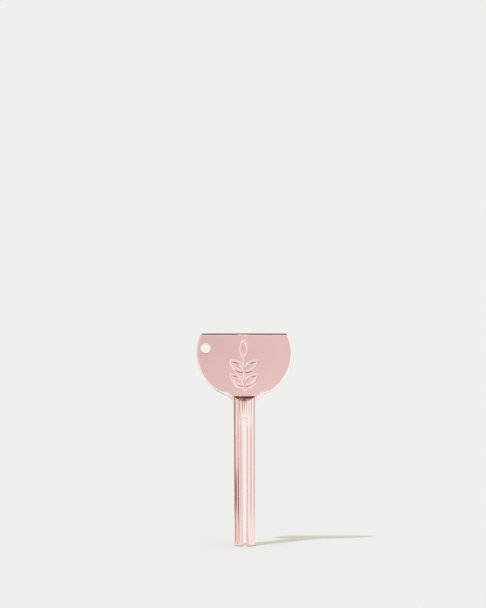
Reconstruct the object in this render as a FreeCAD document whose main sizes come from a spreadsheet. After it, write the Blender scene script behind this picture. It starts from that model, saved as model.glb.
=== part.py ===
import FreeCAD, Part
import math
import os
import Sketcher
from FreeCAD import Placement, Rotation, Vector

# A key for winding up soft metal tubes, folded from one strip of sheet. The strip is bent
# double over the straight top edge, so the head is two plies lying together. Below the head
# each ply is drawn outwards into a half-round trough, and the two troughs make the tubular
# shank. A slot runs up the shank from the foot and takes the flat end of the tube.
#
# Frame: the origin is the middle of the foot, X runs across the head, Y through its
# thickness with the decorated face towards -Y, and Z runs up.

# Driving dimensions: name, value in millimetres or degrees, what it measures.
SIZES = [
    ("sheet_thickness", 0.7, "one ply"),
    ("ply_gap", 0.15, "between the plies, and along the side seams"),
    ("head_height", 22.1, "from the crease to the top of the fold"),
    ("head_width", 33.66, "at its widest"),
    ("widest_drop", 6.93, "from the top of the fold down to the widest line"),
    ("side_sink", 0.82, "from the crease down to the lowest level of the side arcs"),
    ("neck_radius", 3.86, "hollow curve from the side arc into the shank"),
    ("neck_bite", 0.12, "how far inside the shank's side the neck curve ends"),
    ("edge_radius", 0.22, "polished outer edge of the head"),
    ("shank_length", 52.9, "from the foot to the crease"),
    ("shank_diameter", 7.62, "over both troughs"),
    ("shelf_angle", 26.0, "fall of the shoulder shelf, below the horizontal"),
    ("shelf_edge_radius", 0.6, "drawn outer edge of the shelf"),
    ("crease_radius", 0.35, "hollow bend between the head and the shelf"),
    ("foot_chamfer", 0.12, "broken outer edge of the foot"),
    ("collar_length", 7.6, "unslotted shank below the crease"),
    ("slot_width", 1.72, "at its upper end"),
    ("slot_closing", 0.28, "how far the left leg leans in at the foot"),
    ("slot_corner_radius", 0.4, "upper corners of the slot"),
    ("hole_diameter", 3.25, "keyring hole"),
    ("hole_inset", 3.25, "from the side of the head to the middle of the hole"),
    ("hole_drop", 5.42, "from the top of the fold to the middle of the hole"),
    ("hole_chamfer", 0.2, "broken rim of the hole"),
    ("groove_width", 1.2, "pressed line of the sprig, at the face"),
    ("groove_floor", 0.6, "flat bottom of the pressed line"),
    ("groove_depth", 0.26, "pressed line of the sprig"),
    ("stem_rise", 3.0, "from the crease up to the foot of the stem"),
    ("stem_length", 10.6, "up to the base of the top leaf"),
    ("leaf_length", 5.9, "tip to tip along its middle"),
    ("leaf_width", 2.4, "between the middles of its two lines"),
    ("leaf_lean", 52.0, "side leaves, away from the stem"),
    ("leaf_spacing", 4.9, "between the pairs, and up to the top leaf"),
]

NODE = "tube_key"
MARGIN = 2.0  # how far the cutting and trimming solids run past what they cut
NEAR = 0.01  # lengths that differ by less are taken as the same

doc = FreeCAD.newDocument(NODE)
sheet = doc.addObject("Spreadsheet::Sheet", "sizes")
for row, (alias, value, meaning) in enumerate(SIZES, start=1):
    sheet.set(f"A{row}", alias)
    sheet.set(f"B{row}", str(value))
    sheet.setAlias(f"B{row}", alias)
    sheet.set(f"C{row}", meaning)
doc.recompute()

# Where a sketch is drawn: its first axis, its second axis and its normal.
FRONT = Rotation(Vector(1, 0, 0), Vector(0, 0, 1), Vector(0, -1, 0))
SIDE = Rotation(Vector(0, 1, 0), Vector(0, 0, 1), Vector(1, 0, 0))

# The numbers that stand for an edge's points and for the sketch's own two axes.
START, END, CENTRE = range(1, 4)
LEVEL_AXIS, UPRIGHT_AXIS = range(-1, -3, -1)
ORIGIN = (LEVEL_AXIS, START)

PLY_PAIR = "(2 * sizes.sheet_thickness + sizes.ply_gap)"
TOTAL = "(sizes.shank_length + sizes.head_height)"


def size(name):
    return float(sheet.get(name))


def ply_pair():
    return 2 * size("sheet_thickness") + size("ply_gap")


def total_height():
    return size("shank_length") + size("head_height")


class Sketch:
    """A closed outline whose named distances are bound to the sheet."""

    def __init__(self, name, plane):
        self.object = doc.addObject("Sketcher::SketchObject", name)
        self.object.Placement = Placement(Vector(0, 0, 0), plane)

    def line(self, x1, y1, x2, y2, construction=False):
        edge = Part.LineSegment(Vector(x1, y1, 0), Vector(x2, y2, 0))
        return self.object.addGeometry(edge, construction)

    def arc(self, x, y, radius, first, last):
        circle = Part.Circle(Vector(x, y, 0), Vector(0, 0, 1), radius)
        return self.object.addGeometry(Part.ArcOfCircle(circle, first, last), False)

    def hold(self, kind, *where):
        return self.object.addConstraint(Sketcher.Constraint(kind, *where))

    def bind(self, name, expression, kind, *where):
        index = self.hold(kind, *where)
        self.object.renameConstraint(index, name)
        self.object.setExpression(f"Constraints.{name}", expression)

    def across(self, name, expression, point, value):
        self.bind(name, expression, "DistanceX", *ORIGIN, *point, value)

    def height(self, name, expression, point, value):
        self.bind(name, expression, "DistanceY", *ORIGIN, *point, value)

    def left_by(self, name, expression, point, value):
        self.bind(name, expression, "DistanceX", *point, *ORIGIN, value)

    def below_by(self, name, expression, point, value):
        self.bind(name, expression, "DistanceY", *point, *ORIGIN, value)

    def polygon(self, corners):
        """Straight edges round the corners, each edge starting at its own corner."""
        ends = corners[1:] + corners[:1]
        edges = [self.line(*first, *last) for first, last in zip(corners, ends)]
        for edge, following in zip(edges, edges[1:] + edges[:1]):
            self.hold("Coincident", edge, END, following, START)
        return edges


def extrude(name, sketch, length, expression):
    solid = doc.addObject("Part::Extrusion", name)
    solid.Base = sketch.object
    solid.DirMode = "Normal"
    solid.Solid = True
    solid.Symmetric = True
    solid.LengthFwd = length
    solid.setExpression("LengthFwd", expression)
    return solid


def common(name, first, second):
    both = doc.addObject("Part::MultiCommon", name)
    both.Shapes = [first, second]
    return both


def cut(name, base, tool):
    remainder = doc.addObject("Part::Cut", name)
    remainder.Base = base
    remainder.Tool = tool
    return remainder


def mirrored(name, source):
    back = doc.addObject("Part::Mirroring", name)
    back.Source = source
    back.Normal = Vector(0, 1, 0)
    return back


def fused(name, pieces):
    whole = doc.addObject("Part::MultiFuse", name)
    whole.Shapes = pieces
    whole.Refine = True
    return whole


def is_circle(edge, radius):
    return type(edge.Curve).__name__ == "Circle" and abs(edge.Curve.Radius - radius) < NEAR


def on_crease(edge):
    """Picks the two level lines where the head's faces meet the shelves."""
    middle = edge.CenterOfMass
    level = edge.BoundBox.ZLength < NEAR and abs(middle.z - size("shank_length")) < NEAR
    return level and abs(abs(middle.y) - ply_pair() / 2) < NEAR


def edged(kind, name, base, amount, wanted):
    """Round or chamfer, as kind says, the edges of base that wanted() picks."""
    doc.recompute()
    edges = enumerate(base.Shape.Edges, start=1)
    treated = doc.addObject(kind, name)
    treated.Base = base
    treated.Edges = [(index, amount, amount) for index, edge in edges if wanted(edge)]
    return treated


def rounded(name, base, radius, wanted):
    return edged("Part::Fillet", name, base, radius, wanted)


def chamfered(name, base, width, wanted):
    return edged("Part::Chamfer", name, base, width, wanted)


def hairpin(name, thickness, thickness_expression, bend_height, bend_expression):
    """Side view of the fold: two upright lines joined by a half-round bend."""
    half = thickness / 2
    sketch = Sketch(name, SIDE)
    front = sketch.line(-half, bend_height, -half, -MARGIN)
    base = sketch.line(-half, -MARGIN, half, -MARGIN)
    back = sketch.line(half, -MARGIN, half, bend_height)
    bend = sketch.arc(0, bend_height, half, 0, math.pi)
    sketch.hold("Coincident", front, END, base, START)
    sketch.hold("Coincident", base, END, back, START)
    sketch.hold("Tangent", back, END, bend, START)
    sketch.hold("Tangent", bend, END, front, START)
    sketch.hold("Vertical", front)
    sketch.hold("Vertical", back)
    sketch.hold("Horizontal", base)
    sketch.hold("PointOnObject", bend, CENTRE, UPRIGHT_AXIS)
    sketch.bind("half_thickness", f"{thickness_expression} / 2", "Radius", bend, half)
    sketch.height("bend_height", bend_expression, (bend, CENTRE), bend_height)
    sketch.below_by("run_out", f"{MARGIN}", (base, START), MARGIN)
    return sketch


def shelf_profile(name, ridge, ridge_expression):
    """Side view of what lies under one sloping shelf, from the middle plane to the front."""
    far = size("shank_diameter") / 2 + MARGIN
    low = 2 * MARGIN
    slope = math.radians(size("shelf_angle"))
    sketch = Sketch(name, SIDE)
    corners = [(-far, ridge - far * math.tan(slope)), (0, ridge), (0, -low), (-far, -low)]
    shelf, middle, base, front = sketch.polygon(corners)
    sketch.hold("PointOnObject", middle, START, UPRIGHT_AXIS)
    sketch.hold("Vertical", middle)
    sketch.hold("Horizontal", base)
    sketch.hold("Vertical", front)
    sketch.bind("shelf_slope", "sizes.shelf_angle", "Angle", shelf, slope)
    sketch.height("ridge", ridge_expression, (middle, START), ridge)
    sketch.left_by("far", f"sizes.shank_diameter / 2 + {MARGIN}", (front, START), far)
    sketch.below_by("run_out", f"{low}", (base, START), low)
    return sketch


def slot_outline():
    """Front view of the slot: its right side is upright, its left side leans in."""
    half = size("slot_width") / 2
    foot_side = half - size("slot_closing")
    roof = size("shank_length") - size("collar_length")
    sketch = Sketch("slot_outline", FRONT)
    corners = [(half, -MARGIN), (half, roof), (-half, roof), (-foot_side, -MARGIN)]
    right, top, left, base = sketch.polygon(corners)
    sketch.hold("Vertical", right)
    sketch.hold("Horizontal", top)
    sketch.hold("Horizontal", base)
    sketch.across("right_side", "sizes.slot_width / 2", (right, START), half)
    sketch.left_by("left_side", "sizes.slot_width / 2", (left, START), half)
    sketch.left_by("foot_side", "sizes.slot_width / 2 - sizes.slot_closing",
                   (base, START), foot_side)
    sketch.height("roof", "sizes.shank_length - sizes.collar_length", (top, START), roof)
    sketch.below_by("run_out", f"{MARGIN}", (right, START), MARGIN)
    return sketch


def head_outline():
    """Front view of the head, down to where its neck runs into the shank."""
    half_width = size("head_width") / 2
    side_height = total_height() - size("widest_drop")
    side_radius = side_height - size("shank_length") + size("side_sink")
    side_x = half_width - side_radius
    neck_side = size("shank_diameter") / 2 - size("neck_bite")
    neck_radius = size("neck_radius")
    neck_x = neck_side + neck_radius
    roof = total_height() + MARGIN

    # One large arc on each side touches the widest line. The neck arc touches it from outside
    # and ends upright.
    fall = math.sqrt((side_radius + neck_radius) ** 2 - (neck_x - side_x) ** 2)
    neck_height = side_height - fall
    touch = math.atan2(fall, side_x - neck_x)
    roof_angle = math.asin((roof - side_height) / side_radius)
    roof_x = side_x + side_radius * math.cos(roof_angle)
    foot = neck_height - MARGIN

    sketch = Sketch("head_outline", FRONT)
    half_turn = math.pi
    side = sketch.arc(side_x, side_height, side_radius, touch - half_turn, roof_angle)
    neck = sketch.arc(neck_x, neck_height, neck_radius, touch, half_turn)
    root = sketch.line(neck_side, neck_height, neck_side, foot)
    base = sketch.line(neck_side, foot, -neck_side, foot)
    left_root = sketch.line(-neck_side, foot, -neck_side, neck_height)
    left_neck = sketch.arc(-neck_x, neck_height, neck_radius, 0, half_turn - touch)
    left_side = sketch.arc(-side_x, side_height, side_radius,
                           half_turn - roof_angle, 2 * half_turn - touch)
    top = sketch.line(-roof_x, roof, roof_x, roof)
    widest = sketch.line(half_width, side_height, half_width, roof, True)

    sketch.hold("Tangent", side, START, neck, START)
    sketch.hold("Tangent", neck, END, root, START)
    sketch.hold("Coincident", root, END, base, START)
    sketch.hold("Coincident", base, END, left_root, START)
    sketch.hold("Tangent", left_root, END, left_neck, START)
    sketch.hold("Tangent", left_neck, END, left_side, END)
    sketch.hold("Coincident", left_side, START, top, START)
    sketch.hold("Coincident", top, END, side, END)
    sketch.hold("Vertical", root)
    sketch.hold("Vertical", left_root)
    sketch.hold("Horizontal", top)
    sketch.hold("Symmetric", root, END, left_root, START, UPRIGHT_AXIS)
    sketch.hold("Equal", side, left_side)
    sketch.hold("Equal", neck, left_neck)
    sketch.hold("Horizontal", neck, CENTRE, left_neck, CENTRE)
    sketch.hold("Horizontal", side, CENTRE, left_side, CENTRE)
    sketch.hold("Vertical", widest)
    sketch.hold("Horizontal", side, CENTRE, widest, START)
    sketch.hold("Horizontal", top, END, widest, END)
    sketch.hold("Tangent", side, widest)

    sketch.across("half_width", "sizes.head_width / 2", (widest, START), half_width)
    sketch.across("neck_side", "sizes.shank_diameter / 2 - sizes.neck_bite",
                  (root, START), neck_side)
    sketch.height("side_height", f"{TOTAL} - sizes.widest_drop", (side, CENTRE), side_height)
    sketch.height("roof", f"{TOTAL} + {MARGIN}", (top, END), roof)
    sketch.bind("root_length", f"{MARGIN}", "DistanceY", root, END, root, START, MARGIN)
    sketch.bind("side_radius", "sizes.head_height - sizes.widest_drop + sizes.side_sink",
                "Radius", side, side_radius)
    sketch.bind("neck_radius", "sizes.neck_radius", "Radius", neck, neck_radius)
    return sketch


def placed(shape, place):
    copy = shape.copy()
    copy.Placement = place.multiply(copy.Placement)
    return copy


def trough(name, radius, radius_expression, foot, shelf):
    """The front half of a round post whose top slopes down from the middle plane."""
    post = doc.addObject("Part::Cylinder", f"{name}_post")
    post.Radius = radius
    post.setExpression("Radius", radius_expression)
    post.Placement = Placement(Vector(0, 0, foot), Rotation())
    post.Height = total_height()
    post.setExpression("Height", TOTAL)
    block = extrude(f"{name}_block", shelf, 4 * radius, f"4 * ({radius_expression})")
    return common(name, post, block)


class Punch:
    """The section of the tool that presses a line: a flat nose between sloping sides."""

    def __init__(self):
        self.depth = size("groove_depth")
        self.nose = size("groove_floor") / 2
        slope = (size("groove_width") / 2 - self.nose) / self.depth
        self.height = self.depth + MARGIN
        self.crown = self.nose + self.height * slope
        self.nose_y = self.depth - ply_pair() / 2

    def end(self, where):
        """The round end of a line, on the XZ point where."""
        return Part.makeCone(self.nose, self.crown, self.height, where, Vector(0, -1, 0))

    def section(self, where, across):
        """The tool's section at a point, as wide as it is along the direction across."""
        nose, crown = across * self.nose, across * self.crown
        back = Vector(0, -self.height, 0)
        corners = [where - nose, where + nose, where + crown + back, where - crown + back]
        return Part.Face(Part.makePolygon(corners + corners[:1]))


def leaf_cutter(punch):
    """One leaf, drawn with the punch, standing on the origin in the XZ plane."""
    half_length = size("leaf_length") / 2
    half_width = size("leaf_width") / 2
    radius = (half_length ** 2 + half_width ** 2) / (2 * half_width)
    centre = Vector(half_width - radius, 0, half_length)
    turn = 2 * math.degrees(math.asin(half_length / radius))
    across = (Vector() - centre).normalize()
    right = punch.section(Vector(), across).revolve(centre, Vector(0, -1, 0), turn)
    left = right.mirror(Vector(), Vector(1, 0, 0))
    return [right, left, punch.end(Vector()), punch.end(Vector(0, 0, 2 * half_length))]


def sprig_cutter():
    """A stem, two pairs of leaves and a top leaf, drawn in pressed lines."""
    punch = Punch()
    stem_foot = size("shank_length") + size("stem_rise")
    stem_length = size("stem_length")
    stem = punch.section(Vector(), Vector(1, 0, 0)).extrude(Vector(0, 0, stem_length))
    foot_place = Placement(Vector(0, punch.nose_y, stem_foot), Rotation())
    cutters = [placed(piece, foot_place) for piece in (stem, punch.end(Vector()))]
    leaf_places = [(0, 0)]
    for pair in (1, 2):
        drop = pair * size("leaf_spacing")
        leaf_places += [(drop, size("leaf_lean")), (drop, -size("leaf_lean"))]
    for drop, lean in leaf_places:
        base = Vector(0, punch.nose_y, stem_foot + stem_length - drop)
        place = Placement(base, Rotation(Vector(0, 1, 0), lean))
        cutters += [placed(piece, place) for piece in leaf_cutter(punch)]
    sprig = doc.addObject("Part::Feature", "sprig_cutter")
    sprig.Shape = cutters[0].multiFuse(cutters[1:])
    return sprig


# The folded head: the hairpin seen from the side, trimmed to the outline seen from the front.
plate_side = hairpin("plate_side", ply_pair(), PLY_PAIR, total_height() - ply_pair() / 2,
                     f"{TOTAL} - {PLY_PAIR} / 2")
plate = extrude("plate", plate_side, size("head_width") + 2 * MARGIN,
                f"sizes.head_width + {2 * MARGIN}")
outline = head_outline()
outline_block = extrude("outline_block", outline, ply_pair() + 2 * MARGIN,
                        f"{PLY_PAIR} + {2 * MARGIN}")
head = common("head", plate, outline_block)
head = rounded("soft_head", head, size("edge_radius"), lambda edge: edge.BoundBox.ZLength > NEAR)

# The keyring hole, through both plies, with a broken rim on each face.
hole = doc.addObject("Part::Cylinder", "keyring_hole")
hole.setExpression("Radius", "sizes.hole_diameter / 2")
hole.setExpression("Height", f"{PLY_PAIR} + {2 * MARGIN}")
hole.Placement = Placement(Vector(0, 0, 0), FRONT)
hole.setExpression("Placement.Base.x", "sizes.hole_inset - sizes.head_width / 2")
hole.setExpression("Placement.Base.y", f"{PLY_PAIR} / 2 + {MARGIN}")
hole.setExpression("Placement.Base.z", f"{TOTAL} - sizes.hole_drop")
pierced = cut("pierced_head", head, hole)
head = chamfered("rimmed_head", pierced, size("hole_chamfer"),
                 lambda edge: is_circle(edge, size("hole_diameter") / 2))

# The outside of the shank: a round post under a shelf that slopes down to the front, rounded
# at the shelf's outer edge and chamfered at the foot, and the same again behind.
tan_shelf = math.tan(math.radians(size("shelf_angle")))
cos_shelf = math.cos(math.radians(size("shelf_angle")))
outer_ridge = size("shank_length") + ply_pair() / 2 * tan_shelf
outer_ridge_expression = f"sizes.shank_length + {PLY_PAIR} / 2 * tan(sizes.shelf_angle)"
outer_shelf = shelf_profile("outer_shelf", outer_ridge, outer_ridge_expression)
front_half = trough("front_half", size("shank_diameter") / 2, "sizes.shank_diameter / 2",
                    0, outer_shelf)
front_half = rounded("soft_front_half", front_half, size("shelf_edge_radius"),
                     lambda edge: type(edge.Curve).__name__ == "Ellipse")
front_half = chamfered("trimmed_front_half", front_half, size("foot_chamfer"),
                       lambda edge: is_circle(edge, size("shank_diameter") / 2))
body = fused("body", [head, front_half, mirrored("back_half", front_half)])
body = rounded("creased_body", body, size("crease_radius"), on_crease)

# The inside: the gap between the plies, and the two troughs one sheet thickness in.
gap = size("ply_gap")
fold_middle = f"{TOTAL} - {PLY_PAIR} / 2"
gap_side = hairpin("gap_side", gap, "sizes.ply_gap", total_height() - ply_pair() / 2, fold_middle)
gap_slab = extrude("gap_slab", gap_side, size("head_width") + 2 * MARGIN,
                   f"sizes.head_width + {2 * MARGIN}")
inner_shelf = shelf_profile("inner_shelf", outer_ridge - size("sheet_thickness") / cos_shelf,
                            f"{outer_ridge_expression}"
                            " - sizes.sheet_thickness / cos(sizes.shelf_angle)")
inner_radius = size("shank_diameter") / 2 - size("sheet_thickness")
front_hollow = trough("front_hollow", inner_radius,
                      "sizes.shank_diameter / 2 - sizes.sheet_thickness", -MARGIN, inner_shelf)
hollow = fused("hollow", [gap_slab, front_hollow, mirrored("back_hollow", front_hollow)])
body = cut("hollow_body", body, hollow)

# The slot, through both troughs, with rounded upper corners.
slot = extrude("slot", slot_outline(), size("shank_diameter") + 2 * MARGIN,
               f"sizes.shank_diameter + {2 * MARGIN}")
slot_roof = size("shank_length") - size("collar_length")
slot = rounded("soft_slot", slot, size("slot_corner_radius"),
               lambda edge: edge.BoundBox.YLength > MARGIN and edge.CenterOfMass.z > slot_roof / 2)
body = cut("slotted_body", body, slot)

# The pressed ornament on the front.
key = cut(NODE, body, sprig_cutter())
key.Label = NODE
doc.recompute()

for thing in doc.Objects:
    if "Invalid" in thing.State or "Error" in thing.State:
        raise RuntimeError(f"{thing.Name} could not be worked out: {thing.State}")
if key.Shape.isNull() or not key.Shape.isValid():
    raise RuntimeError(f"{NODE} has no valid shape")
if len(key.Shape.Solids) != 1:
    raise RuntimeError(f"{NODE} is {len(key.Shape.Solids)} solids")

os.makedirs("parts", exist_ok=True)
key.Shape.exportStep(f"parts/{NODE}.step")
bounds = key.Shape.BoundBox
print(f"{NODE}: {key.Shape.Volume:.1f} mm3, {len(key.Shape.Faces)} faces,"
      f" {bounds.XLength:.2f} x {bounds.YLength:.2f} x {bounds.ZLength:.2f} mm")
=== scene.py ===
# %% [markdown]
# # A key for winding up soft tubes
#
# The real object is one strip of sheet steel, bent double, drawn into a tube below the head,
# and plated in polished pink gold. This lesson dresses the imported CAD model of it. Everything
# is in metres, and the key stands on the floor at the origin with its decorated face towards
# the camera, down the -Y axis.

import math

import bmesh
import bpy
from mathutils import Matrix, Vector


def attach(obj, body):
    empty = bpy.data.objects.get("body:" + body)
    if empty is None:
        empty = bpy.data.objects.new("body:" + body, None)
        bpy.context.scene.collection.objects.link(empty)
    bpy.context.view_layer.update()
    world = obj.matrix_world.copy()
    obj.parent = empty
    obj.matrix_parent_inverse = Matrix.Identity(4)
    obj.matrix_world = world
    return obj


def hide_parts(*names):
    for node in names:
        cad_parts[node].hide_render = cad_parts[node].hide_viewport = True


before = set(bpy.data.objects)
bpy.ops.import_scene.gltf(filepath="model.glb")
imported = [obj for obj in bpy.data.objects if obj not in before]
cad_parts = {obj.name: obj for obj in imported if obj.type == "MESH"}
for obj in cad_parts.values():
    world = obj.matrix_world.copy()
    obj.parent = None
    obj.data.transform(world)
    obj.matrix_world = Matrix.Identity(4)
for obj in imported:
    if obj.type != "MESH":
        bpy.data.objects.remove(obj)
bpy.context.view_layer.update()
MM = 0.001
print("CAD nodes:", sorted(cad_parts))


# %% [markdown]
# ## The outline of one ply
#
# The real key starts as a flat strip of sheet. Its outline could be typed in as points, but it
# is easier to let one point travel: spun about the middle of an arc, it leaves that arc behind.
# Two runs of it make half the outline of the head, and a mirror makes the other half. All sizes
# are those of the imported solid, and the model is built in millimetres and shrunk at the end.

# %% Sizes of the sheet, in millimetres
PLY = 0.70
GAP = 0.15
FACE = PLY + GAP / 2
HEIGHT = 75.0
FOLD = HEIGHT - FACE
HALF_WIDTH = 16.83
WIDEST = 68.07
SIDE_RADIUS = 15.99
NECK_RADIUS = 3.86
SHANK_RADIUS = 3.81
SHANK_SIDE = math.sqrt(SHANK_RADIUS ** 2 - FACE ** 2)

side_middle = Vector((HALF_WIDTH - SIDE_RADIUS, -FACE, WIDEST))
neck_x = SHANK_SIDE + NECK_RADIUS
fall = math.sqrt((SIDE_RADIUS + NECK_RADIUS) ** 2 - (neck_x - side_middle.x) ** 2)
neck_middle = Vector((neck_x, -FACE, WIDEST - fall))
NECK = neck_middle.z
print("the neck leaves the shank", round(NECK, 2), "mm up, at", round(SHANK_SIDE, 2), "mm")

# %% Let a point travel along half the outline
FORWARD = Vector((0.0, -1.0, 0.0))
corner_angle = math.asin((FOLD - WIDEST) / SIDE_RADIUS)
touch_angle = math.atan2(-fall, neck_x - side_middle.x)

sheet = bmesh.new()
corner = sheet.verts.new(side_middle + SIDE_RADIUS * Vector(
    (math.cos(corner_angle), 0.0, math.sin(corner_angle))))
side_run = bmesh.ops.spin(sheet, geom=[corner], cent=side_middle, axis=FORWARD,
                          angle=touch_angle - corner_angle, steps=56)
neck_run = bmesh.ops.spin(sheet, geom=side_run["geom_last"], cent=neck_middle, axis=FORWARD,
                          angle=-touch_angle, steps=20)
neck_end = neck_run["geom_last"][0].co
print("half outline:", len(sheet.edges), "edges, ending at",
      [round(value, 3) for value in neck_end])

# %% Mirror the outline, and draw the keyring hole
HOLE = Vector((-13.58, -FACE, 69.58))
HOLE_RADIUS = 1.625
UPRIGHT = Matrix.Rotation(math.radians(90), 4, "X")

bmesh.ops.mirror(sheet, geom=sheet.verts[:] + sheet.edges[:], axis="X", merge_dist=0.0)
bmesh.ops.create_circle(sheet, segments=64, radius=HOLE_RADIUS,
                        matrix=Matrix.Translation(HOLE) @ UPRIGHT)
print("both sides and the hole:", len(sheet.edges), "edges")


# %% [markdown]
# ## Drawing the trough
#
# Under the head the sheet is drawn into a half-round trough that ends in a sloping shelf. A
# press does that by pushing a flat blank into a die, so here a flat grid is pushed out to the
# die's shape. The die is one rule: how far the face stands in front of the middle plane at any
# place. Where two of its surfaces meet, they are blended over a short way, as thick sheet
# bends. The metal has to shorten round the shank's top, so it keeps small upright pleats there,
# and they run out just above the slot.

# %% Rows and columns of the blank
SHELF_FALL = math.tan(math.radians(26.0))
SHELF_REACH = 3.0
SHELF_BELLY = -0.10
CREASE = 52.9
SLOT_HALF = 0.86
SLOT_TOP = 45.3
SLOT_CORNER = 0.40
BLANK_TOP = 53.5


def stations(*stretches):
    """Positions along a line, from stretches of (first, last, number of steps)."""
    places = [stretches[0][0]]
    for first, last, steps in stretches:
        places += [first + (last - first) * step / steps for step in range(1, steps + 1)]
    return places


slot_angle = math.asin(SLOT_HALF / SHANK_RADIUS)
face_angle = math.asin(SHANK_SIDE / SHANK_RADIUS)
seam_angle = math.acos(GAP / 2 / SHANK_RADIUS)
COLUMNS = stations((-seam_angle, -face_angle, 4), (-face_angle, -slot_angle, 44),
                   (-slot_angle, slot_angle, 24), (slot_angle, face_angle, 44),
                   (face_angle, seam_angle, 4))
ROWS = stations((0.0, 44.0, 22), (44.0, SLOT_TOP, 2), (SLOT_TOP, NECK, 12),
                (NECK, 51.0, 8), (51.0, BLANK_TOP, 40))
print("blank:", len(COLUMNS) - 1, "columns and", len(ROWS) - 1, "rows")


# %% The die
def blend(first, second, reach):
    """The smaller of two heights, rounded over where they come within reach of each other."""
    share = 0.5 + 0.5 * (second - first) / reach if reach > 0 else float(first <= second)
    share = min(max(share, 0.0), 1.0)
    return second + (first - second) * share - reach * share * (1.0 - share)


def smooth_step(value, low, high):
    """0 below low, 1 above high, and a soft rise between."""
    share = min(max((value - low) / (high - low), 0.0), 1.0)
    return share * share * (3.0 - 2.0 * share)


# %% The pleats: their angles in degrees, and how deep each is beside the deepest
PLEATS = ((-49.0, 0.5), (-27.0, 0.8), (-10.0, 1.0), (0.5, 0.9), (11.0, 0.6), (24.0, 0.4),
          (41.0, 0.6))
PLEAT_HALF = 3.6
PLEAT_DEPTH = 0.075
PLEATS_LOW = 45.0
PLEATS_HIGH = 48.6
SHELF_ROUND = 0.30
SHOULDER_ROUND = 0.40
SHOULDER_MOST = 1.2


def pleats(angle, z):
    """Small upright grooves in the collar, deepest under the shelf, gone above the slot."""
    groove = 0.0
    for middle, share in PLEATS:
        away = (math.degrees(angle) - middle) / PLEAT_HALF
        groove += share * max(1.0 - away * away, 0.0) ** 2
    return -PLEAT_DEPTH * smooth_step(z, PLEATS_LOW, PLEATS_HIGH) * groove


def die(angle, z):
    """How far in front of the middle plane the pressed face stands."""
    post = (SHANK_RADIUS + pleats(angle, z)) * math.cos(angle)
    if z <= NECK:
        return post
    out = (CREASE - z) / SHELF_FALL
    slope = FACE + out - SHELF_BELLY * out * (SHELF_REACH - out)
    shelf = -blend(-FACE, -slope, SHELF_ROUND)
    return blend(post, shelf, SHOULDER_ROUND * min(SHOULDER_MOST, max(post - FACE, 0.0)))


# %% Press the blank
blank = bmesh.ops.create_grid(sheet, x_segments=len(COLUMNS) - 1, y_segments=len(ROWS) - 1,
                              size=1.0)["verts"]
for number, vert in enumerate(blank):
    row, column = divmod(number, len(COLUMNS))
    angle, z = COLUMNS[column], ROWS[row]
    vert.co = Vector((SHANK_RADIUS * math.sin(angle), -die(angle, z), z))
print("deepest draw:", round(-min(vert.co.y for vert in blank), 3), "mm")

# %% Cut the slot and round its upper corners
EPS = 0.002

waste = []
for face in {face for vert in blank for face in vert.link_faces}:
    middle = face.calc_center_median()
    in_slot = abs(middle.x) < SLOT_HALF and middle.z < SLOT_TOP
    beside_neck = abs(middle.x) > SHANK_SIDE and middle.z > NECK
    if in_slot or beside_neck:
        waste.append(face)
bmesh.ops.delete(sheet, geom=waste, context="FACES")
for vert in sheet.verts:
    into_corner = abs(vert.co.x) - (SLOT_HALF - SLOT_CORNER)
    if abs(vert.co.z - SLOT_TOP) < EPS and EPS < into_corner < SLOT_CORNER + EPS:
        vert.co.z -= SLOT_CORNER - math.sqrt(max(SLOT_CORNER ** 2 - into_corner ** 2, 0.0))
print("after the slot:", len(sheet.faces), "faces")


# %% [markdown]
# ## Two plies and a fold
#
# The back ply is the mirror image of the front one, and the sheet runs from one to the other
# round a tight half-turn along the top. So the outline and the trough are mirrored first, then
# the flat parts of each head are filled in, and the top edge is spun round the fold.

# %% Mirror the wires and the trough to the back
bmesh.ops.remove_doubles(sheet, verts=sheet.verts, dist=EPS)
bmesh.ops.mirror(sheet, geom=sheet.verts[:] + sheet.edges[:] + sheet.faces[:], axis="Y",
                 merge_dist=0.0)
print("front and back:", len(sheet.faces), "faces")

# %% A fine patch for the ornament, in the front face only
PATCH = (-7.2, 7.2, 54.9, 73.1)
patch_steps = (120, 150)
patch = bmesh.ops.create_grid(sheet, x_segments=patch_steps[0], y_segments=patch_steps[1],
                              size=0.5)["verts"]
for vert in patch:
    u, v = vert.co.x + 0.5, vert.co.y + 0.5
    vert.co = Vector((PATCH[0] + u * (PATCH[1] - PATCH[0]), -FACE,
                      PATCH[2] + v * (PATCH[3] - PATCH[2])))
print("patch squares of", round((PATCH[1] - PATCH[0]) / patch_steps[0], 3), "mm")


# %% Fill the flat parts and spin the fold
def rim_edges(side):
    """Open edges and wires in the head's face on that side of the middle plane."""
    return [edge for edge in sheet.edges if len(edge.link_faces) < 2
            and all(abs(vert.co.y - side * FACE) < EPS and vert.co.z > NECK - EPS
                    for vert in edge.verts)]


def top_corners(side):
    return [vert for vert in sheet.verts if abs(vert.co.z - FOLD) < EPS
            and abs(vert.co.y - side * FACE) < EPS and not vert.link_faces]


top_edges = [sheet.edges.new(top_corners(side)) for side in (-1, 1)]
for side in (-1, 1):
    bmesh.ops.triangle_fill(sheet, use_beauty=True, edges=rim_edges(side),
                            normal=(0.0, float(side), 0.0))
bmesh.ops.spin(sheet, geom=[top_edges[0]], cent=(0.0, 0.0, FOLD), axis=(1.0, 0.0, 0.0),
               angle=-math.pi, steps=12)
for vert in sheet.verts:
    if vert.co.z > FOLD + EPS:
        reach = side_middle.x + math.sqrt(SIDE_RADIUS ** 2 - (vert.co.z - WIDEST) ** 2)
        vert.co.x = math.copysign(reach, vert.co.x)
bmesh.ops.remove_doubles(sheet, verts=sheet.verts, dist=EPS)
bmesh.ops.recalc_face_normals(sheet, faces=sheet.faces)
print("whole sheet:", len(sheet.faces), "faces,",
      sum(len(edge.link_faces) > 2 for edge in sheet.edges), "edges with more than two")


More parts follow.
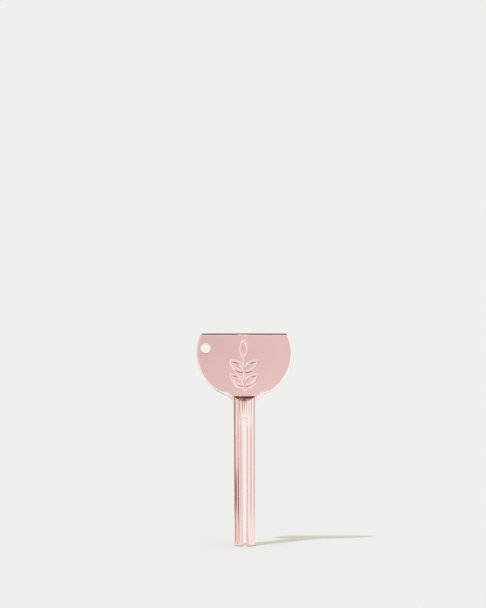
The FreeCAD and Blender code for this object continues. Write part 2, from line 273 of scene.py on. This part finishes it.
# %% [markdown]
# ## Thickness and broken edges
#
# So far the sheet has no thickness. Solidify pushes a copy of it inwards by one sheet and
# closes the two along every cut edge: the outline, the hole, the slot and the foot. The slot's
# walls are parallel, so its inner corners are set to the width of its outer ones. Polishing
# has rounded the edges that a hand touches, so those are bevelled. The two edges that face each
# other along a seam stay sharp, and show as a hairline.

# %% Give the sheet its thickness
bmesh.ops.solidify(sheet, geom=sheet.faces[:], thickness=PLY)
INNER_RADIUS = SHANK_RADIUS - PLY
WALL_EDGE = INNER_RADIUS * math.sin(slot_angle)

for vert in sheet.verts:
    inside = math.hypot(vert.co.x, vert.co.y) < INNER_RADIUS + 0.1
    on_edge = abs(abs(vert.co.x) - WALL_EDGE) < 0.03
    if inside and on_edge and vert.co.z < SLOT_TOP + EPS:
        vert.co.x = math.copysign(SLOT_HALF, vert.co.x)
print("with thickness:", len(sheet.faces), "faces,",
      sum(not edge.is_manifold for edge in sheet.edges), "edges not closed")


# %% Break the edges
CORNER = math.radians(50)


def on_outside(vert):
    """Whether a point lies on the outer side of the sheet."""
    x, y, z = vert.co
    over_fold = z > FOLD and math.hypot(y, z - FOLD) > FACE - EPS
    on_face = abs(abs(y) - FACE) < EPS and z < FOLD + EPS
    on_trough = z < NECK + EPS and math.hypot(x, y) > SHANK_RADIUS - 0.1
    return over_fold or on_face or on_trough


def outer_corners(wanted):
    """Outer edges at a sharp corner, both of whose ends pass wanted()."""
    return [edge for edge in sheet.edges if len(edge.link_faces) == 2
            and all(on_outside(vert) and wanted(vert.co) for vert in edge.verts)
            and edge.calc_face_angle() > CORNER]


def break_edges(edges, width, segments):
    before = len(sheet.faces)
    bmesh.ops.bevel(sheet, geom=edges, offset=width, offset_type="OFFSET", segments=segments,
                    profile=0.5, affect="EDGES", material=-1, clamp_overlap=False,
                    loop_slide=False)
    print("bevelled", len(edges), "edges by", width, "mm:", len(sheet.faces) - before,
          "more faces")


def by_hole(co):
    return math.hypot(co.x - HOLE.x, co.z - HOLE.z) < HOLE_RADIUS + 0.5


head_rim = outer_corners(lambda co: co.z > NECK + 0.5 and not by_hole(co))
hole_rim = outer_corners(by_hole)
slot_rim = outer_corners(lambda co: abs(co.x) < SLOT_HALF + EPS and co.z < SLOT_TOP + EPS)
break_edges(head_rim, 0.50, 5)
break_edges(hole_rim, 0.36, 4)
break_edges(slot_rim, 0.12, 2)
foot_rim = outer_corners(lambda co: co.z < EPS)
break_edges(foot_rim, 0.30, 4)


# %% [markdown]
# ## A pressed sprig
#
# The middle of the head carries a line ornament, pressed in with a round-nosed tool. A sprig
# of five leaves is drawn by rule rather than by hand: each leaf is two arcs between its base
# and its tip, and a place on the face sinks by how near it lies to the nearest line. The metal
# that the tool pushes aside stands up as a low lip on both sides.

# %% Distance to the sprig's lines
STEM_FOOT = 55.9
STEM_TOP = 66.5
LEAF_LENGTH = 5.9
LEAF_BEND = 1.2
LEAF_RADIUS = ((LEAF_LENGTH / 2) ** 2 + LEAF_BEND ** 2) / (2 * LEAF_BEND)
LEAF_STEP = 4.9
LEAF_LEAN = math.radians(52.0)
LEAVES = [(STEM_TOP, 0.0)] + [(STEM_TOP - LEAF_STEP * pair, side * LEAF_LEAN)
                              for pair in (1, 2) for side in (-1, 1)]


def to_leaf(x, z, base, lean):
    """Distance to the two arcs of the leaf that stands on the stem at height base."""
    across = abs(x * math.cos(lean) - (z - base) * math.sin(lean))
    along = x * math.sin(lean) + (z - base) * math.cos(lean)
    if not 0.0 <= along <= LEAF_LENGTH:
        return math.hypot(across, along if along < 0.0 else along - LEAF_LENGTH)
    from_arc = math.hypot(across + LEAF_RADIUS - LEAF_BEND, along - LEAF_LENGTH / 2)
    return abs(from_arc - LEAF_RADIUS)


def to_sprig(x, z):
    to_stem = math.hypot(x, z - min(max(z, STEM_FOOT), STEM_TOP))
    return min([to_stem] + [to_leaf(x, z, base, lean) for base, lean in LEAVES])


# %% Press the sprig into the front face
PRESS_DEPTH = 0.19
GROOVE_FLOOR, GROOVE_EDGE = 0.12, 0.60
LIP_HEIGHT = 0.035
LIP_INNER = (0.50, 0.66)
LIP_OUTER = (0.72, 0.98)

pressed = 0
for vert in sheet.verts:
    x, y, z = vert.co
    if abs(y + FACE) < EPS and PATCH[0] < x < PATCH[1] and PATCH[2] < z < PATCH[3]:
        away = to_sprig(x, z)
        sink = PRESS_DEPTH * smooth_step(-away, -GROOVE_EDGE, -GROOVE_FLOOR)
        lip = smooth_step(away, *LIP_INNER) * smooth_step(-away, -LIP_OUTER[1], -LIP_OUTER[0])
        vert.co.y += sink - LIP_HEIGHT * lip
        pressed += sink > 0.0
print("points pressed in:", pressed)


# %% [markdown]
# ## The lean of a leg, and one object
#
# A tube that is slit from end to end loses its shape a little. On the photographed key the left
# leg leans in towards the foot, so every point of it is moved in, more and more on the way down.
# Then the model goes from millimetres to metres and becomes one object that stands at the
# origin. Its faces are shaded smooth, apart from real corners, and the weighted normals keep
# the big flat faces flat up to their rounded rims, as a mirror has to be.

# %% Let the left leg lean in, and shrink the model to metres
LEAN = 0.28
LEAN_STARTS = 0.45

for vert in sheet.verts:
    if vert.co.z < NECK:
        share = smooth_step(-vert.co.x, 0.0, LEAN_STARTS)
        vert.co.x += LEAN * share * (1.0 - vert.co.z / NECK)
bmesh.ops.dissolve_degenerate(sheet, dist=EPS / 10, edges=sheet.edges)
bmesh.ops.scale(sheet, vec=(MM, MM, MM), verts=sheet.verts)
print("model:", len(sheet.verts), "points,", round(sheet.calc_volume() / MM ** 3, 1), "mm3")


# %% Make it an object with soft faces and crisp corners
CRISP = math.radians(40)


def piece_from(bm, name):
    """Turns a bmesh into an object that stands at the origin."""
    mesh = bpy.data.meshes.new(name)
    bm.to_mesh(mesh)
    bm.free()
    piece = bpy.data.objects.new(name, mesh)
    bpy.context.scene.collection.objects.link(piece)
    return piece


def soften(piece):
    """Smooth shading that keeps sharp corners, and keeps big faces flat up to their rims."""
    for face in piece.data.polygons:
        face.use_smooth = True
    piece.data.set_sharp_from_angle(angle=CRISP)
    weigh = piece.modifiers.new("flat_faces_stay_flat", "WEIGHTED_NORMAL")
    weigh.keep_sharp = True


key = piece_from(sheet, "folded_key")
soften(key)
print("triangles:", sum(len(face.vertices) - 2 for face in key.data.polygons))


# %% [markdown]
# ## Tools for materials
#
# Every surface here is a small network of nodes. A few short functions keep it readable: one
# adds a node and joins its sockets, one does sums, two make soft masks, and one lays a colour
# over another through a mask.

# %% Add a node, do a sum
def new_material(name):
    material = bpy.data.materials.new(name)
    material.use_nodes = True
    tree = material.node_tree
    tree.nodes.clear()
    return material, tree


def feed(tree, value, socket):
    """Joins the socket to another one, or sets it where the value is a plain number."""
    if isinstance(value, bpy.types.NodeSocket):
        tree.links.new(value, socket)
    else:
        socket.default_value = value


def add(tree, kind, settings=None, **inputs):
    """A node with its settings and inputs; an underscore in a name stands for a space."""
    node = tree.nodes.new(kind)
    for name, value in (settings or {}).items():
        setattr(node, name, value)
    for name, value in inputs.items():
        feed(tree, value, node.inputs[name.replace("_", " ")])
    return node


def maths(tree, operation, *values):
    node = add(tree, "ShaderNodeMath", {"operation": operation})
    for value, socket in zip(values, node.inputs):
        feed(tree, value, socket)
    return node.outputs["Value"]


def times(tree, first, second):
    return maths(tree, "MULTIPLY", first, second)


# %% Soft masks and layers of colour
def ramp(tree, value, low, high, out_low=0.0, out_high=1.0):
    """Maps low..high smoothly to out_low..out_high."""
    node = add(tree, "ShaderNodeMapRange", {"interpolation_type": "SMOOTHSTEP"}, Value=value)
    for name, limit in (("From Min", low), ("From Max", high),
                        ("To Min", out_low), ("To Max", out_high)):
        node.inputs[name].default_value = limit
    return node.outputs["Result"]


def band(tree, value, low, high, soft):
    """1 between low and high, falling to 0 over the distance soft outside them."""
    return times(tree, ramp(tree, value, low - soft, low), ramp(tree, value, high + soft, high))


def over(tree, ground, colour, mask):
    """ground, covered with colour where the mask is 1. Both are colours or sockets."""
    node = add(tree, "ShaderNodeMix", {"data_type": "RGBA"})
    tree.links.new(mask, node.inputs["Factor"])
    for value, socket in ((ground, node.inputs[6]), (colour, node.inputs[7])):
        is_colour = isinstance(value, tuple)
        feed(tree, (*value, 1.0) if is_colour else value, socket)
    return node.outputs[2]


def distance(tree, x, z, point):
    """How far a place is from a point, seen from the front. The point is in millimetres."""
    flat = add(tree, "ShaderNodeCombineXYZ", X=x, Z=z)
    away = add(tree, "ShaderNodeVectorMath", {"operation": "DISTANCE"})
    tree.links.new(flat.outputs[0], away.inputs[0])
    away.inputs[1].default_value = (point.x * MM, 0.0, point.z * MM)
    return away.outputs["Value"]


# %% [markdown]
# ## Pink-gold plating
#
# The plating is a thin mirror over drawn steel. A metal's colour is the colour of what it
# reflects, so there is no paint colour to mix, only the gold's own tint, and that wanders a
# little as plating does. What makes the shank look drawn is a very low relief of fine lines
# along it. A higher relief would scatter the reflections and cost the mirror its stripes.

# %% Tint and drawn lines
PINK_GOLD = (0.86, 0.585, 0.565)
DEEP_PINK = (0.83, 0.545, 0.525)
LINE_RELIEF = 0.006
LINES_ACROSS = 2400.0
LINES_ALONG = 25.0

plating, tree = new_material("pink_gold_plating")
place = add(tree, "ShaderNodeTexCoord").outputs["Object"]
across, depth, height = add(tree, "ShaderNodeSeparateXYZ", Vector=place).outputs

stretch = add(tree, "ShaderNodeMapping", Vector=place)
stretch.inputs["Scale"].default_value = (LINES_ACROSS, LINES_ACROSS, LINES_ALONG)
streaks = add(tree, "ShaderNodeTexNoise", Vector=stretch.outputs["Vector"], Scale=1.0,
              Detail=2.0).outputs["Fac"]
on_shank = ramp(tree, height, 53.5 * MM, 52.5 * MM)
relief = add(tree, "ShaderNodeBump", Strength=1.0, Distance=LINE_RELIEF * MM,
             Height=times(tree, streaks, on_shank))
cloud = add(tree, "ShaderNodeTexNoise", Vector=place, Scale=130.0, Detail=2.0).outputs["Fac"]
tint = over(tree, PINK_GOLD, DEEP_PINK, cloud)
print("plating nodes so far:", len(tree.nodes))


# %% [markdown]
# ## Painted shade in the pleats
#
# The pleats under the shelf get a dark brown in their colour, painted shade for the dark that
# the narrow grooves take. Each is found by its angle round the shank, which is taken from the
# depth without its sign, so that the back has them too.

# %% Paint shade into the pleats
# painted shade: a dark brown laid into the colour of each pleat
PLEAT_SHADE = (0.36, 0.20, 0.17)
SHADE_CORE = 1.0
SHADE_SOFT = 3.2

round_angle = maths(tree, "DEGREES",
                    maths(tree, "ARCTAN2", across, maths(tree, "ABSOLUTE", depth)))
pleat_shade = 0.0
for middle, share in PLEATS:
    near = band(tree, round_angle, middle - SHADE_CORE, middle + SHADE_CORE, SHADE_SOFT)
    pleat_shade = maths(tree, "ADD", pleat_shade, times(tree, near, share))
pleat_shade = times(tree, pleat_shade, ramp(tree, height, 44.0 * MM, 49.0 * MM))
pleat_shade = times(tree, pleat_shade, ramp(tree, height, 52.5 * MM, 51.8 * MM))
# the pleats' colour is darkened here with painted shade
shaded = over(tree, tint, PLEAT_SHADE, pleat_shade)
print("pleats stained:", len(PLEATS))


# %% [markdown]
# ## Painted highlights on the rims
#
# The rims get a paler pink in their colour, a painted highlight where the rounded edges catch
# the light. The rims lie on circles that are known from the outline, so a distance from each
# circle's
# middle finds them: the two sides of the head, the two necks and the upper half of the keyring
# hole.

# %% Paint highlights on the rims
# painted highlight: a paler pink laid on the rims of the head, the necks and the top of the hole
RIM_HIGHLIGHT = (0.96, 0.79, 0.76)
NECK_SHARE = 0.3

either_side = maths(tree, "ABSOLUTE", across)
head_highlight = times(tree, ramp(tree, distance(tree, either_side, height, side_middle),
                             (SIDE_RADIUS - 0.65) * MM, (SIDE_RADIUS - 0.25) * MM),
                  ramp(tree, height, 53.0 * MM, 56.2 * MM))
neck_highlight = times(tree, ramp(tree, distance(tree, either_side, height, neck_middle),
                             (NECK_RADIUS + 0.60) * MM, (NECK_RADIUS + 0.25) * MM),
                  ramp(tree, height, 49.5 * MM, 51.5 * MM, 0.0, NECK_SHARE))
hole_highlight = times(tree, ramp(tree, distance(tree, across, height, HOLE),
                             (HOLE_RADIUS + 0.50) * MM, (HOLE_RADIUS + 0.15) * MM),
                  ramp(tree, height, (HOLE.z - 0.6) * MM, (HOLE.z + 0.2) * MM))
rim_highlight = maths(tree, "MAXIMUM", maths(tree, "MAXIMUM", head_highlight, neck_highlight), hole_highlight)

# %% Put the plating on the key
metal = add(tree, "ShaderNodeBsdfPrincipled", Metallic=1.0,
            Base_Color=over(tree, shaded, RIM_HIGHLIGHT, rim_highlight),
            Roughness=ramp(tree, cloud, 0.3, 0.7, 0.10, 0.14),
            Normal=relief.outputs["Normal"])
add(tree, "ShaderNodeOutputMaterial", Surface=metal.outputs["BSDF"])
key.data.materials.clear()
key.data.materials.append(plating)
print("plating nodes:", len(tree.nodes))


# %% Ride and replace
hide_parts("tube_key")
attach(key, "root")


# %% [markdown]
# ## The floor
#
# The key stands on pale paper that runs out of the picture on all sides. The paper's colour is
# the background's colour, and lamp and sky together light it at a plain level of one, so that
# it renders as it is written. Reflections see the paper painted brighter than that. Round the
# foot they see a warm brown ring of painted contact shade, which the foot's rounded bottom edge
# mirrors. The tube throws the light that it gathers down between its legs, shown as a weak glow
# painted into the paper inside the tube.

# %% The paper
PAPER = (0.863, 0.863, 0.847)
PAPER_SIZE = 24.0
# painted light, seen only by reflections: the paper brightened, and a warm brown ring of painted
# contact shade round the foot
BRIGHTENED_PAPER = (1.40, 1.46, 1.42)
FOOT_CONTACT_SHADE = (0.60, 0.36, 0.20)
GATHERED_LIGHT = (0.88, 0.83, 0.76, 1.0)
GATHERED_SHARE = 0.62

paper = bmesh.new()
bmesh.ops.create_grid(paper, x_segments=1, y_segments=1, size=PAPER_SIZE / 2)
floor = piece_from(paper, "paper_floor")

paper_finish, tree = new_material("pale_paper")
spot = add(tree, "ShaderNodeTexCoord").outputs["Object"]
from_middle = add(tree, "ShaderNodeVectorMath", {"operation": "LENGTH"},
                  Vector=spot).outputs["Value"]
paper_in_reflections = over(tree, FOOT_CONTACT_SHADE, BRIGHTENED_PAPER,
                ramp(tree, from_middle, 4.0 * MM, 4.5 * MM))
rays = add(tree, "ShaderNodeLightPath").outputs
cover = add(tree, "ShaderNodeBsdfDiffuse",
            Color=over(tree, PAPER, paper_in_reflections, rays["Is Glossy Ray"]))
gathered = add(tree, "ShaderNodeEmission", Color=GATHERED_LIGHT,
               Strength=ramp(tree, from_middle, 3.5 * MM, 2.8 * MM, 0.0, GATHERED_SHARE))
lit = add(tree, "ShaderNodeAddShader")
tree.links.new(cover.outputs["BSDF"], lit.inputs[0])
tree.links.new(gathered.outputs["Emission"], lit.inputs[1])
add(tree, "ShaderNodeOutputMaterial", Surface=lit.outputs["Shader"])
floor.data.materials.append(paper_finish)
print("paper:", PAPER_SIZE, "m across")


# %% [markdown]
# ## Lamp and sky
#
# The shadow on the paper runs to the right and away from the camera, so the lamp stands high on
# the left in front, as a small sun. The shadow is a little yellow, so the lamp is bluer than
# the sky that fills the shadow. Reflections don't see the lamp: they have the tent below.

# %% Sun
SUN_SHARE = 0.27
SUN_HEIGHT = math.radians(59.0)
SUN_LEFT = math.radians(45.0)
SUN_WIDTH = math.radians(2.5)
SUN_COLOUR = (0.97, 1.00, 1.38)

lamp = bpy.data.lights.new("high_lamp", "SUN")
lamp.angle = SUN_WIDTH
lamp.energy = SUN_SHARE * math.pi / math.sin(SUN_HEIGHT)
lamp.color = SUN_COLOUR
sun = bpy.data.objects.new("high_lamp", lamp)
to_sun = Vector((-math.sin(SUN_LEFT) * math.cos(SUN_HEIGHT),
                 -math.cos(SUN_LEFT) * math.cos(SUN_HEIGHT), math.sin(SUN_HEIGHT)))
sun.visible_glossy = False
sun.rotation_mode = "QUATERNION"
sun.rotation_quaternion = to_sun.to_track_quat("Z", "Y")
bpy.context.scene.collection.objects.link(sun)
print("lamp energy:", round(lamp.energy, 3))

# %% Sky
SKY_FILL = (0.738, 0.730, 0.627, 1.0)

sky = bpy.data.worlds.new("studio")
bpy.context.scene.world = sky
sky.use_nodes = True
tree = sky.node_tree
tree.nodes.clear()
rays = add(tree, "ShaderNodeLightPath").outputs
fill = add(tree, "ShaderNodeBackground", Color=SKY_FILL, Strength=1.0)
plain = add(tree, "ShaderNodeBackground", Color=(*PAPER, 1.0), Strength=1.0)
final = add(tree, "ShaderNodeMixShader", Fac=rays["Is Camera Ray"])
tree.links.new(fill.outputs["Background"], final.inputs[1])
tree.links.new(plain.outputs["Background"], final.inputs[2])
add(tree, "ShaderNodeOutputWorld", Surface=final.outputs["Shader"])


# %% [markdown]
# ## Light tent
#
# A mirror is lit by what stands round it. The photographer's white tent, its softboxes and its
# dark cards are one dome here. Only reflections see it, so it never comes into a picture, and
# it throws no shadow on the paper.

# %% The dome
TENT = 45 * MM
TENT_TALL = 60.4 / 45
TENT_MIDDLE = 60 * MM
ABOVE_PAPER = 0.02 * MM

shell = bmesh.new()
bmesh.ops.create_uvsphere(shell, u_segments=96, v_segments=96, radius=TENT)
bmesh.ops.scale(shell, vec=(1.0, 1.0, TENT_TALL), verts=shell.verts)
bmesh.ops.translate(shell, vec=(0.0, 0.0, TENT_MIDDLE), verts=shell.verts)
bmesh.ops.bisect_plane(shell, geom=shell.verts[:] + shell.edges[:] + shell.faces[:],
                       plane_co=(0, 0, ABOVE_PAPER), plane_no=(0, 0, 1), clear_inner=True)
tent = piece_from(shell, "light_tent")
for ray in ("camera", "diffuse", "transmission", "volume_scatter", "shadow"):
    setattr(tent, f"visible_{ray}", False)
print("tent:", len(tent.data.polygons), "faces")


# %% [markdown]
# ## Painting the tent
#
# A place on the tent is given by two numbers. Turn is the direction in degrees: 0 in front of
# the key, growing to the right. Level is the height over the floor in millimetres. A shank of
# half-round troughs squeezes the whole turn into a few stripes, so every strip of cloth or lamp
# becomes a line of light along it. The head is flat and sees only a small patch in front.

# %% Turn and level
cloth, tree = new_material("tent_cloth")
at = add(tree, "ShaderNodeSeparateXYZ",
         Vector=add(tree, "ShaderNodeTexCoord").outputs["Object"]).outputs
turn = maths(tree, "DEGREES",
             maths(tree, "ARCTAN2", at["X"], times(tree, at["Y"], -1.0)))
level = maths(tree, "DIVIDE", at["Z"], MM)
from_left = maths(tree, "DIVIDE", at["X"], MM)


def paint(colour, mask):
    """Covers the tent with colour where the mask is 1."""
    global tone
    tone = over(tree, tone, colour, mask)


def patch_mask(turns, levels):
    return times(tree, band(tree, turn, *turns), band(tree, level, *levels))


# %% Strips from top to bottom: name, low, high, softness, colour
WHITE = (1.0, 0.985, 0.97)
STRIPS = (
    ("left rear card", -155, -107, 3, (0.50, 0.46, 0.48)),
    ("left rear gap", -102, -94, 3, (1.10, 1.40, 1.38)),
    ("left salmon cloth", -86, -77, 3, (1.16, 1.08, 0.96)),
    ("left brown edge", -72, -65, 2, (0.68, 0.55, 0.46)),
    ("left lamp", -60, -51, 3, (1.08, 1.25, 1.25)),
    ("left seam", -45, -39, 3, (0.84, 0.82, 0.82)),
    ("left inner lamp", -35, -28, 3, (1.08, 1.22, 1.18)),
    ("right inner cloth", 28, 38, 3, (1.00, 1.00, 0.97)),
    ("right inner lamp", 42, 51, 3, (1.16, 1.50, 1.46)),
    ("right lamp", 54, 61, 3, (1.05, 1.18, 1.16)),
    ("right cloth", 66, 74, 3, (0.95, 0.96, 0.90)),
    ("right salmon cloth", 78, 88, 3, (1.06, 0.96, 0.85)),
    ("right rear lamp", 93, 104, 3, (1.20, 1.75, 1.70)),
    ("right rear card", 110, 155, 3, (0.80, 0.80, 0.84)),
)
tone = WHITE
for name, low, high, soft, colour in STRIPS:
    paint(colour, band(tree, turn, low, high, soft))
print("strips from top to bottom:", len(STRIPS))

# %% Strips beside the foot: name, turns, colour
BESIDE_FOOT = (-20, 4, 9)
FOOT_STRIPS = (
    ("left card", (-150, -124, 5), (0.88, 1.12, 1.16)),
    ("left cloth", (-102, -93, 4), (0.84, 0.88, 0.84)),
    ("left salmon", (-72, -64, 3), (0.93, 0.87, 0.79)),
    ("left lamp", (-60, -51, 4), (0.88, 0.92, 0.86)),
    ("left seam", (-46, -36, 3), (1.08, 1.22, 1.19)),
    ("right lamp", (64, 112, 10), (1.12, 1.32, 1.28)),
    ("right card", (120, 150, 8), (0.92, 1.06, 1.08)),
)
for name, turns, colour in FOOT_STRIPS:
    paint(colour, patch_mask(turns, BESIDE_FOOT))
print("strips beside the foot:", len(FOOT_STRIPS))

# %% Patches for the legs and the collar: name, turns, levels, colour, share
FRONT = (-24, 24, 3)
COLLAR = (41.0, 47.5, 3.0)
PATCHES = (
    ("dark card", (-118, -92, 4), (14, 19, 8), (0.36, 0.32, 0.33), 1.0),
    ("dark edge", (-74, -64, 3), (13, 20, 10), (0.18, 0.06, 0.04), 1.0),
    ("collar lamp, right", (27, 104, 5), COLLAR, (1.20, 1.60, 1.58), 0.5),
    ("collar lamp, left", (-104, -27, 5), COLLAR, (1.15, 1.45, 1.42), 0.3),
    ("collar lamp, front", FRONT, (40.0, 47.2, 0.8), (1.42, 1.80, 1.78), 1.0),
)
for name, turns, levels, colour, share in PATCHES:
    paint(colour, times(tree, patch_mask(turns, levels), share))
print("patches:", len(PATCHES))

# %% The cloth that the head mirrors, paler to the right and below
HEAD_CLOTH = (0.83, 0.80, 0.80)
HEAD_CLOTH_LIT = (0.95, 0.98, 0.97)

before_head = patch_mask(FRONT, (47.8, 75.0, 0.8))
paint(HEAD_CLOTH, before_head)
right_and_low = maths(tree, "ADD", ramp(tree, turn, -25.0, 25.0, 0.0, 0.55),
                      ramp(tree, level, 73.0, 47.0, 0.0, 0.45))
paint(HEAD_CLOTH_LIT, times(tree, before_head, right_and_low))

# %% Overhead: what the fold, the shelf and the upper rims mirror
NO_END = 1000.0
WIDE_FRONT = (-60, 60, 12)
OVERHEAD = (
    ("bright edge", WIDE_FRONT, (79, 90, 2), (1.35, 1.48, 1.45)),
    ("dark opening", WIDE_FRONT, (93, NO_END, 2), (0.06, 0.045, 0.07)),
    ("brown ceiling", WIDE_FRONT, (112, NO_END, 2), (0.52, 0.40, 0.38)),
    ("left cloth", (-112, -26, 6), (62, 92, 5), (0.84, 0.82, 0.82)),
)
for name, turns, levels, colour in OVERHEAD:
    paint(colour, patch_mask(turns, levels))
paint((2.6, 2.4, 2.0), times(tree, patch_mask(WIDE_FRONT, (103.5, 109, 0.8)),
                             band(tree, from_left, -2.0, 1.0, 1.2)))
behind = maths(tree, "SUBTRACT", 1.0, band(tree, turn, -120, 120, 15))
paint((0.16, 0.12, 0.15), times(tree, behind, ramp(tree, level, 88, 92)))

# %% Hang the tent
shine = add(tree, "ShaderNodeEmission", Color=tone, Strength=1.0)
add(tree, "ShaderNodeOutputMaterial", Surface=shine.outputs["Emission"])
tent.data.materials.append(cloth)
print("tent nodes:", len(tree.nodes))


# %% [markdown]
# ## Camera
#
# A long lens 1.2 m away, a little above the key and straight in front of it. The aim is above
# the key, because the photograph has the key low in the frame.

# %% The camera
AIM = Vector((-0.478, 0.0, 85.37)) * MM
STAND = Vector((-0.478, -1194.0, 130.31)) * MM
FIELD = math.radians(10.252)

lens = bpy.data.cameras.new("long_lens")
lens.lens = lens.sensor_width / 2 / math.tan(FIELD / 2)
lens.clip_end = 50.0
camera = bpy.data.objects.new("long_lens", lens)
camera.location = STAND
camera.rotation_mode = "QUATERNION"
camera.rotation_quaternion = (AIM - STAND).to_track_quat("-Z", "Y")
bpy.context.scene.collection.objects.link(camera)
bpy.context.scene.camera = camera
bpy.context.scene.view_settings.view_transform = "Standard"
print("lens in mm:", round(lens.lens, 1))
